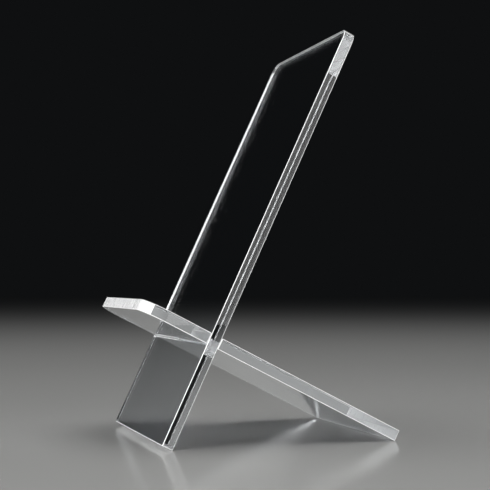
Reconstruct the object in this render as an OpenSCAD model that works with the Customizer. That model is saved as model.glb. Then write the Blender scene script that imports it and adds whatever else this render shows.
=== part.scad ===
// Plate display stand: two clear acrylic plates that cross in half-lap slots.
// The upright plate leans back. The cross plate passes through it, juts out in
// front as the ledge that a dish stands on, and slopes down behind to the table.
//
// Frame: X across the stand, Y from front to back, Z up. The origin is on the
// table, in the middle of the stand's footprint.

/* [Sheet] */
// Thickness of the sheet that both plates are cut from
sheet_t = 5; // [3:0.5:8]
// Width of both plates, across the stand
plate_w = 95; // [60:1:160]

/* [Upright plate] */
// Length of the upright plate, from its foot edge to its top edge
upright_len = 197.5; // [130:0.5:300]
// Distance up the upright plate from its foot edge to the middle of the crossing
upright_foot = 48.5; // [36:0.5:65]
// Radius of the upright plate's two top corners
top_corner_r = 5; // [1:0.5:25]

/* [Cross plate] */
// Reach of the ledge, from the middle of the crossing to the cross plate's front edge
ledge_reach = 34; // [20:0.5:60]
// Length of the tail, from the middle of the crossing to the cross plate's rear edge
tail_reach = 94; // [70:0.5:140]
// Radius of the cross plate's two front corners
ledge_corner_r = 12; // [1:0.5:18]

/* [Crossing] */
// How much wider each slot is cut than the sheet that slides into it
slot_clear = 0.3; // [0.15:0.05:0.6]
// Gap left where the rocked cross plate meets the edges of the slots
touch_gap = 0.05; // [0.02:0.01:0.07]
// Gap between the blind ends of the two slots
end_gap = 0.2; // [0.1:0.05:1]

/* [Hidden] */
$fn = 96;

// Colour and see-through share of the clear sheet
clear_sheet = [0.86, 0.91, 0.95];
clear_alpha = 0.45;

// Past this much beyond an edge, a slot's cut leaves no skin behind
cut_over = 1;

half_t = sheet_t / 2;
slot_w = sheet_t + slot_clear;

// The cross plate rocks in its slots until it touches their edges. It has come
// up against them when rock_room = sheet_t / cos(rock) + sheet_t * tan(rock).
rock_room = slot_w - 2 * touch_gap;
rock = acos(sheet_t / sqrt(pow(rock_room, 2) + pow(sheet_t, 2))) - atan(sheet_t / rock_room);

// The lean at which the upright's rear foot edge and the cross plate's lower
// rear edge both stand on the table, measured up from the table
lean = atan((tail_reach * cos(rock) - half_t * sin(rock) - half_t)
          / (upright_foot - tail_reach * sin(rock) - half_t * cos(rock)));

// Slope of the cross plate, measured from level: its tail is the low end
slope = 90 - lean + rock;

// Height of the crossing above the table
cross_z = upright_foot * sin(lean) + half_t * cos(lean);

// Furthest points in front of and behind the crossing, and the shift that puts
// the middle of the footprint at the origin
front_y = max(ledge_reach * cos(slope) + half_t * sin(slope),
              upright_foot * cos(lean) + half_t * sin(lean));
rear_y = max(tail_reach * cos(slope) + half_t * sin(slope),
             (upright_len - upright_foot) * cos(lean) + half_t * sin(lean));
cross_y = (front_y - rear_y) / 2;

// Flat blank from y = -back to y = front, with its two corners at front rounded
module blank(back, front, corner_r) {
    translate([-plate_w / 2, -back])
        square([plate_w, back + front - corner_r]);
    translate([-plate_w / 2 + corner_r, -back])
        square([plate_w - 2 * corner_r, back + front]);
    for (side = [-1, 1])
        translate([side * (plate_w / 2 - corner_r), front - corner_r])
            circle(corner_r);
}

// Slot across one half of a plate, open at the edge on the given side
module slot_cut(side) {
    blind_x = -side * end_gap / 2;
    open_x = side * (plate_w / 2 + cut_over);
    translate([min(blind_x, open_x), -slot_w / 2])
        square([abs(open_x - blind_x), slot_w]);
}

// One plate lying flat, with the crossing at its origin
module plate(back, front, corner_r, slot_side) {
    linear_extrude(sheet_t, center = true)
        difference() {
            blank(back, front, corner_r);
            slot_cut(slot_side);
        }
}

// Stands a flat plate at the crossing, turned up from level by the given angle
module at_crossing(tilt) {
    translate([0, cross_y, cross_z])
        rotate([tilt, 0, 0])
            children();
}

module upright_plate() {
    color(clear_sheet, clear_alpha)
        at_crossing(lean)
            plate(upright_foot, upright_len - upright_foot, top_corner_r, -1);
}

module cross_plate() {
    color(clear_sheet, clear_alpha)
        at_crossing(-slope)
            mirror([0, 1, 0])
                plate(tail_reach, ledge_reach, ledge_corner_r, 1);
}

upright_plate();
cross_plate();
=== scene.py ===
import math

import bpy
from mathutils import Euler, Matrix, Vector


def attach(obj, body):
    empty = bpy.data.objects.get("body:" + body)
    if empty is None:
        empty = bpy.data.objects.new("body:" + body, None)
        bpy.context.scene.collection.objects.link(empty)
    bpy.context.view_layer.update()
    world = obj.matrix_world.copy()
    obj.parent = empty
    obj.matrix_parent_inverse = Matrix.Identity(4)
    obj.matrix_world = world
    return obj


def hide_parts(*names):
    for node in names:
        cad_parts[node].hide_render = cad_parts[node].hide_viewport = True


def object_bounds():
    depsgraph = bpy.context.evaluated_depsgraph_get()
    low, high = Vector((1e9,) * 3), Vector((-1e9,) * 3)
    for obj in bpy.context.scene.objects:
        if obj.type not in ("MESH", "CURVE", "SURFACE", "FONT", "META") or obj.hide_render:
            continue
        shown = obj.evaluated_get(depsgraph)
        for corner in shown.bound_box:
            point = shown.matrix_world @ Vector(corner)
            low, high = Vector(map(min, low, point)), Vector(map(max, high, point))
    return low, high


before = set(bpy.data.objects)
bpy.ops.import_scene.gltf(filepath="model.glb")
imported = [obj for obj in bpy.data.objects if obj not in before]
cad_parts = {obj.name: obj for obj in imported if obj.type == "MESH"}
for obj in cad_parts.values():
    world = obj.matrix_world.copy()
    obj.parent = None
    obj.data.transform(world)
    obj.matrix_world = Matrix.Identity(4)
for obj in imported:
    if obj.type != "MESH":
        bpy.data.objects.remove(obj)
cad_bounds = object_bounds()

# Plate display stand: two plates of clear cast acrylic, sawn to size and
# pushed together at half-lap slots. Everything is in metres, in the frame of the CAD.

MM = 0.001

# ---------------------------------------------------------------- camera

# The eye is close to table height, on the stand's +X side and a little in
# front of it, a long lens away from the crossing.
EYE = (534.0 * MM, -169.3 * MM, 69.4 * MM)
EYE_AZIMUTH = math.radians(72.23)
# Below zero, the view tips up
EYE_ELEVATION = math.radians(-1.81)
LENS = 88.5


def add_camera():
    data = bpy.data.cameras.new("camera")
    data.lens = LENS
    data.clip_start = 0.05
    data.clip_end = 30.0
    camera = bpy.data.objects.new("camera", data)
    bpy.context.scene.collection.objects.link(camera)
    camera.location = EYE
    camera.rotation_euler = (math.pi / 2 - EYE_ELEVATION, 0.0, EYE_AZIMUTH)
    bpy.context.scene.camera = camera


add_camera()

# Light runs a long way inside a clear plate, from face to face, before it leaves at an edge.
bpy.context.scene.cycles.max_bounces = 24
bpy.context.scene.cycles.glossy_bounces = 16
bpy.context.scene.cycles.transmission_bounces = 16
bpy.context.scene.view_settings.view_transform = "Standard"

# ---------------------------------------------------------------- helpers


def linear(hex_colour):
    """An sRGB hex value, such as "#E8F0F4", as linear RGBA."""
    channels = [int(hex_colour[i:i + 2], 16) / 255 for i in (1, 3, 5)]
    straight = [c / 12.92 if c <= 0.04045 else ((c + 0.055) / 1.055) ** 2.4 for c in channels]
    return (*straight, 1.0)


def node(tree, kind, links=None, **settings):
    """Adds a node. settings name its properties or its inputs, and links maps an input to an output."""
    made = tree.nodes.new(kind)
    for name, value in settings.items():
        if hasattr(made, name):
            setattr(made, name, value)
        else:
            made.inputs[name.replace("_", " ")].default_value = value
    for name, source in (links or {}).items():
        tree.links.new(source, made.inputs[name])
    return made


# ---------------------------------------------------------------- the plates, read off the frame

# Two places closer than this are the same place
SAME = 0.001 * MM
# Only the blind end of a plate's slot comes this close to the middle of its width
MIDDLE = 1 * MM


class Plate:
    """One flat plate, measured on its CAD solid.

    along runs up the upright, or down the tail of the cross plate, and normal is the broad face
    that looks up. The plate is drawn flat with the crossing at the origin, X across, Y along.
    """

    def __init__(self, name):
        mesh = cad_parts[name].data
        broad = max(mesh.polygons, key=lambda face: face.area)
        self.normal = broad.normal.copy() if broad.normal.z > 0 else -broad.normal
        self.along = self.normal.cross(Vector((1, 0, 0)))
        self.tilt = math.atan2(self.along.z, self.along.y)
        points = [v.co for v in mesh.vertices]
        across = [p.x for p in points]
        depths = [p.dot(self.normal) for p in points]
        runs = [p.dot(self.along) for p in points]
        self.half_width = max(across)
        self.thickness = max(depths) - min(depths)
        blind_end = [(p.x, p.dot(self.along)) for p in points if abs(p.x) < MIDDLE]
        self.slot_blind = blind_end[0][0]
        slot_low = min(r for _, r in blind_end)
        slot_high = max(r for _, r in blind_end)
        self.slot_width = slot_high - slot_low
        middle = (slot_high + slot_low) / 2
        self.slot_open = -math.copysign(1, self.slot_blind)
        self.start = min(runs) - middle
        self.end = max(runs) - middle
        first = min(runs) + SAME
        last = max(runs) - SAME
        self.start_radius = self.half_width - max(x for x, r in zip(across, runs) if r < first)
        self.end_radius = self.half_width - max(x for x, r in zip(across, runs) if r > last)
        self.crossing = self.along * middle + self.normal * (max(depths) + min(depths)) / 2


# ---------------------------------------------------------------- modelling


def select_only(obj):
    bpy.ops.object.select_all(action="DESELECT")
    obj.select_set(True)
    bpy.context.view_layer.objects.active = obj


def choose(obj, domain, test):
    """In edit mode, selects just the vertices, edges or faces that pass the test."""
    bpy.ops.mesh.select_all(action="DESELECT")
    bpy.ops.object.mode_set(mode="OBJECT")
    for part in getattr(obj.data, domain):
        part.select = test(part)
    bpy.ops.object.mode_set(mode="EDIT")


def near(a, b):
    return abs(a - b) < SAME


def bisect(at, normal):
    bpy.ops.mesh.select_all(action="SELECT")
    bpy.ops.mesh.bisect(plane_co=at, plane_no=normal)


# Width of the broken edge, and flats around each rounded corner
ARRIS = 0.3 * MM
CORNER_STEPS = 24

# Places in a plate's list of finishes
FACE, SIDE, EDGE, END = range(4)
# A corner is finished with the side while it faces sideways by more than this, and with the end after
SIDEWAYS = 0.8


def cut_plate(name, plate, finishes):
    """Cuts a plate out of sheet as at the bench: blank, slot, corners, thickness, then its arrises."""
    middle = (plate.start + plate.end) / 2
    bpy.ops.mesh.primitive_plane_add(size=1, location=(0, middle, -plate.thickness / 2))
    obj = bpy.context.active_object
    obj.name = obj.data.name = name
    obj.scale = (2 * plate.half_width, plate.end - plate.start, 1)
    select_only(obj)
    bpy.ops.object.transform_apply(location=True, rotation=True, scale=True)

    bpy.ops.object.mode_set(mode="EDIT")
    bpy.ops.mesh.select_mode(type="FACE")
    slot_half = plate.slot_width / 2
    bisect((0, slot_half, 0), (0, 1, 0))
    bisect((0, -slot_half, 0), (0, 1, 0))
    bisect((plate.slot_blind, 0, 0), (1, 0, 0))
    choose(obj, "polygons", lambda f: abs(f.center.y) < slot_half and f.center.x * plate.slot_open > 0)
    bpy.ops.mesh.delete(type="FACE")
    bpy.ops.mesh.select_all(action="SELECT")
    bpy.ops.mesh.dissolve_limited(angle_limit=math.radians(1))

    bpy.ops.mesh.select_mode(type="VERT")
    closed_side = -plate.slot_open * plate.half_width
    choose(obj, "vertices", lambda v: near(v.co.x, closed_side) and near(abs(v.co.y), slot_half)
           or near(v.co.x, plate.slot_blind) and not near(abs(v.co.y), slot_half))
    bpy.ops.mesh.dissolve_verts()
    for run, radius in ((plate.start, plate.start_radius), (plate.end, plate.end_radius)):
        if radius > ARRIS:
            choose(obj, "vertices", lambda v: near(v.co.y, run))
            bpy.ops.mesh.bevel(offset=radius, segments=CORNER_STEPS, profile=0.5, affect="VERTICES")

    bpy.ops.mesh.select_mode(type="FACE")
    bpy.ops.mesh.select_all(action="SELECT")
    bpy.ops.mesh.extrude_region_move(TRANSFORM_OT_translate={"value": (0, 0, plate.thickness)})
    bpy.ops.mesh.select_all(action="SELECT")
    bpy.ops.mesh.normals_make_consistent(inside=False)
    bpy.ops.object.mode_set(mode="OBJECT")

    for finish in finishes:
        obj.data.materials.append(finish)
    for face in obj.data.polygons:
        on_side = abs(face.center.x) > plate.half_width / 2 and abs(face.normal.x) > SIDEWAYS
        is_face = abs(face.normal.z) > 0.5
        face.material_index = FACE if is_face else SIDE if on_side else END
    arris = obj.modifiers.new("arris", "BEVEL")
    arris.width = ARRIS
    arris.segments = 2
    arris.limit_method = "ANGLE"
    arris.angle_limit = math.radians(40)
    arris.material = EDGE
    bpy.ops.object.modifier_apply(modifier=arris.name)

    obj.rotation_euler = (plate.tilt, 0, 0)
    obj.location = plate.crossing
    bpy.ops.object.transform_apply(location=True, rotation=True, scale=True)
    return obj


# ---------------------------------------------------------------- finishes

# Cast acrylic refracts at 1.49 and is nearly colourless, with a breath of blue.
ACRYLIC_IOR = 1.49
ACRYLIC_TINT = linear("#F9FCFF")
# A cut or ground surface scatters white
FROST = linear("#FFFFFF")


def acrylic(name, colour=ACRYLIC_TINT, clear=1.0, roughness=0.0):
    """Acrylic that lets through the given share of light: returns its material, tree and shader."""
    material = bpy.data.materials.new(name)
    material.use_nodes = True
    tree = material.node_tree
    shader = next(n for n in tree.nodes if n.type == "BSDF_PRINCIPLED")
    shader.inputs["Base Color"].default_value = colour
    shader.inputs["IOR"].default_value = ACRYLIC_IOR
    shader.inputs["Transmission Weight"].default_value = clear
    shader.inputs["Roughness"].default_value = roughness
    return material, tree, shader


def lying(tree, plate):
    """Coordinates in metres that lie in the plate: X across it, Y along it, Z through its thickness."""
    flat = Euler((-plate.tilt, 0, 0))
    moved = -plate.crossing
    moved.rotate(flat)
    where = node(tree, "ShaderNodeTexCoord")
    laid = node(tree, "ShaderNodeMapping", {"Vector": where.outputs["Object"]},
                Location=moved, Rotation=flat)
    return laid.outputs["Vector"]


def cast_face(plate, name):
    """Cell-cast acrylic sheet, factory polish: dead clear, with a slow waviness that bends reflections."""
    material, tree, shader = acrylic(name)
    wave = node(tree, "ShaderNodeTexNoise", {"Vector": lying(tree, plate)}, Scale=1 / (30 * MM), Detail=1.0)
    lift = node(tree, "ShaderNodeBump", {"Height": wave.outputs["Fac"]}, Strength=0.01, Distance=0.05 * MM)
    tree.links.new(lift.outputs["Normal"], shader.inputs["Normal"])
    return material


def ripples(tree, place, across, along, deep, detail):
    """Noise whose ripples are as many metres across the plate, along it and through its thickness."""
    stretch = node(tree, "ShaderNodeMapping", {"Vector": place}, Scale=(1 / across, 1 / along, 1 / deep))
    made = node(tree, "ShaderNodeTexNoise", {"Vector": stretch.outputs["Vector"]}, Scale=1.0, Detail=detail)
    return made.outputs["Fac"]


def polished_side(plate, name):
    """Long side, polished on the router: clear enough to see into, with faint lengthwise cutter lines."""
    material, tree, shader = acrylic(name)
    lines = ripples(tree, lying(tree, plate), 1, 40 * MM, 0.45 * MM, 2.0)
    gloss = node(tree, "ShaderNodeMapRange", {"Value": lines}, To_Min=0.0, To_Max=0.02)
    tree.links.new(gloss.outputs["Result"], shader.inputs["Roughness"])
    lift = node(tree, "ShaderNodeBump", {"Height": lines}, Strength=0.02, Distance=0.01 * MM)
    tree.links.new(lift.outputs["Normal"], shader.inputs["Normal"])
    return material


def sawn_end(plate, name):
    """End, corner or slot wall as sawn: a fine white frost with striae through the thickness."""
    material, tree, shader = acrylic(name, colour=FROST, clear=0.55)
    place = lying(tree, plate)
    striae = ripples(tree, place, 0.7 * MM, 0.7 * MM, 8 * MM, 2.0)
    melt = ripples(tree, place, 3 * MM, 3 * MM, 2 * MM, 2.0)
    gloss = node(tree, "ShaderNodeMapRange", {"Value": striae}, To_Min=0.2, To_Max=0.4)
    tree.links.new(gloss.outputs["Result"], shader.inputs["Roughness"])
    cut = node(tree, "ShaderNodeBump", {"Height": striae}, Strength=0.15, Distance=0.05 * MM)
    wavy = node(tree, "ShaderNodeBump", {"Height": melt, "Normal": cut.outputs["Normal"]},
                Strength=0.2, Distance=0.1 * MM)
    tree.links.new(wavy.outputs["Normal"], shader.inputs["Normal"])
    return material


def scraped_arris(name):
    """Arris broken with a scraper: fine-ground, so it scatters light into a bright line."""
    material, _, _ = acrylic(name, colour=FROST, clear=0.5, roughness=0.5)
    return material


# ---------------------------------------------------------------- the stand

sheets = []
for node_name, body, title in (
    ("upright_plate", "upright", "upright"),
    ("cross_plate", "crosspiece", "cross"),
):
    plate = Plate(node_name)
    finishes = (
        cast_face(plate, f"cast acrylic face, {title}"),
        polished_side(plate, f"router-polished acrylic side, {title}"),
        scraped_arris(f"scraped acrylic arris, {title}"),
        sawn_end(plate, f"sawn acrylic end, {title}"),
    )
    piece = cut_plate(f"{title}_sheet", plate, finishes)
    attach(piece, body)
    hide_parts(node_name)
    sheets.append(piece)

# ---------------------------------------------------------------- studio

FLOOR_RADIUS = 6.0
STAND_MIDDLE = (cad_bounds[0] + cad_bounds[1]) / 2


def add_floor():
    bpy.ops.object.select_all(action="DESELECT")
    bpy.ops.mesh.primitive_circle_add(vertices=96, radius=FLOOR_RADIUS, fill_type="NGON")
    floor = bpy.context.active_object
    floor.name = "studio_floor"
    material = bpy.data.materials.new("pale studio floor")
    material.use_nodes = True
    shader = next(n for n in material.node_tree.nodes if n.type == "BSDF_PRINCIPLED")
    shader.inputs["Base Color"].default_value = linear("#D2D2D0")
    shader.inputs["Roughness"].default_value = 0.15
    shader.inputs["Specular IOR Level"].default_value = 0.5
    floor.data.materials.append(material)
    return floor


def flagged(name, objects):
    """A group of objects for a softbox that is flagged off everything else."""
    group = bpy.data.collections.new(name)
    for obj in objects:
        group.objects.link(obj)
    return group


def add_softbox(name, azimuth, elevation, distance, size, watts, lit):
    """A softbox aimed at the middle of the stand. Azimuth 0 is in front of it and 90 on its +X side."""
    data = bpy.data.lights.new(name, "AREA")
    data.shape = "RECTANGLE"
    data.size, data.size_y = size
    data.energy = watts
    light = bpy.data.objects.new(name, data)
    bpy.context.scene.collection.objects.link(light)
    turn, rise = math.radians(azimuth), math.radians(elevation)
    way = Vector((math.sin(turn) * math.cos(rise), -math.cos(turn) * math.cos(rise), math.sin(rise)))
    light.location = STAND_MIDDLE + way * distance
    light.rotation_euler = (-way).to_track_quat("-Z", "Y").to_euler()
    light.visible_camera = False
    light.light_linking.receiver_collection = lit


def add_world():
    """A dark backdrop far behind the table, as clear sheet is shown against."""
    world = bpy.data.worlds.new("studio")
    world.use_nodes = True
    bpy.context.scene.world = world
    background = next(n for n in world.node_tree.nodes if n.type == "BACKGROUND")
    background.inputs["Color"].default_value = linear("#0F1011")
    background.inputs["Strength"].default_value = 1.0


floor = add_floor()
add_world()

# Low softboxes rake the sheets and are flagged off the floor, which would mirror them.
LOW_DISTANCE = 1.5
low = flagged("lit_from_low", sheets)
for name, azimuth, elevation, size, watts in (
    ("right_panel", 110, 6, (0.9, 0.55), 3.5),
    ("front_box", 345, 5, (0.5, 0.25), 10),
    ("front_right_box", 52, 6, (0.24, 0.18), 38),
    ("far_left_box", 303, 10, (0.4, 0.4), 1),
    ("rear_box", 160, 8, (0.5, 0.3), 14),
):
    add_softbox(name, azimuth, elevation, LOW_DISTANCE, size, watts, low)

# The one overhead lights the floor alone.
add_softbox("table_box", 0, 90, 1.2, (1.6, 1.6), 18, flagged("lit_from_above", [floor]))
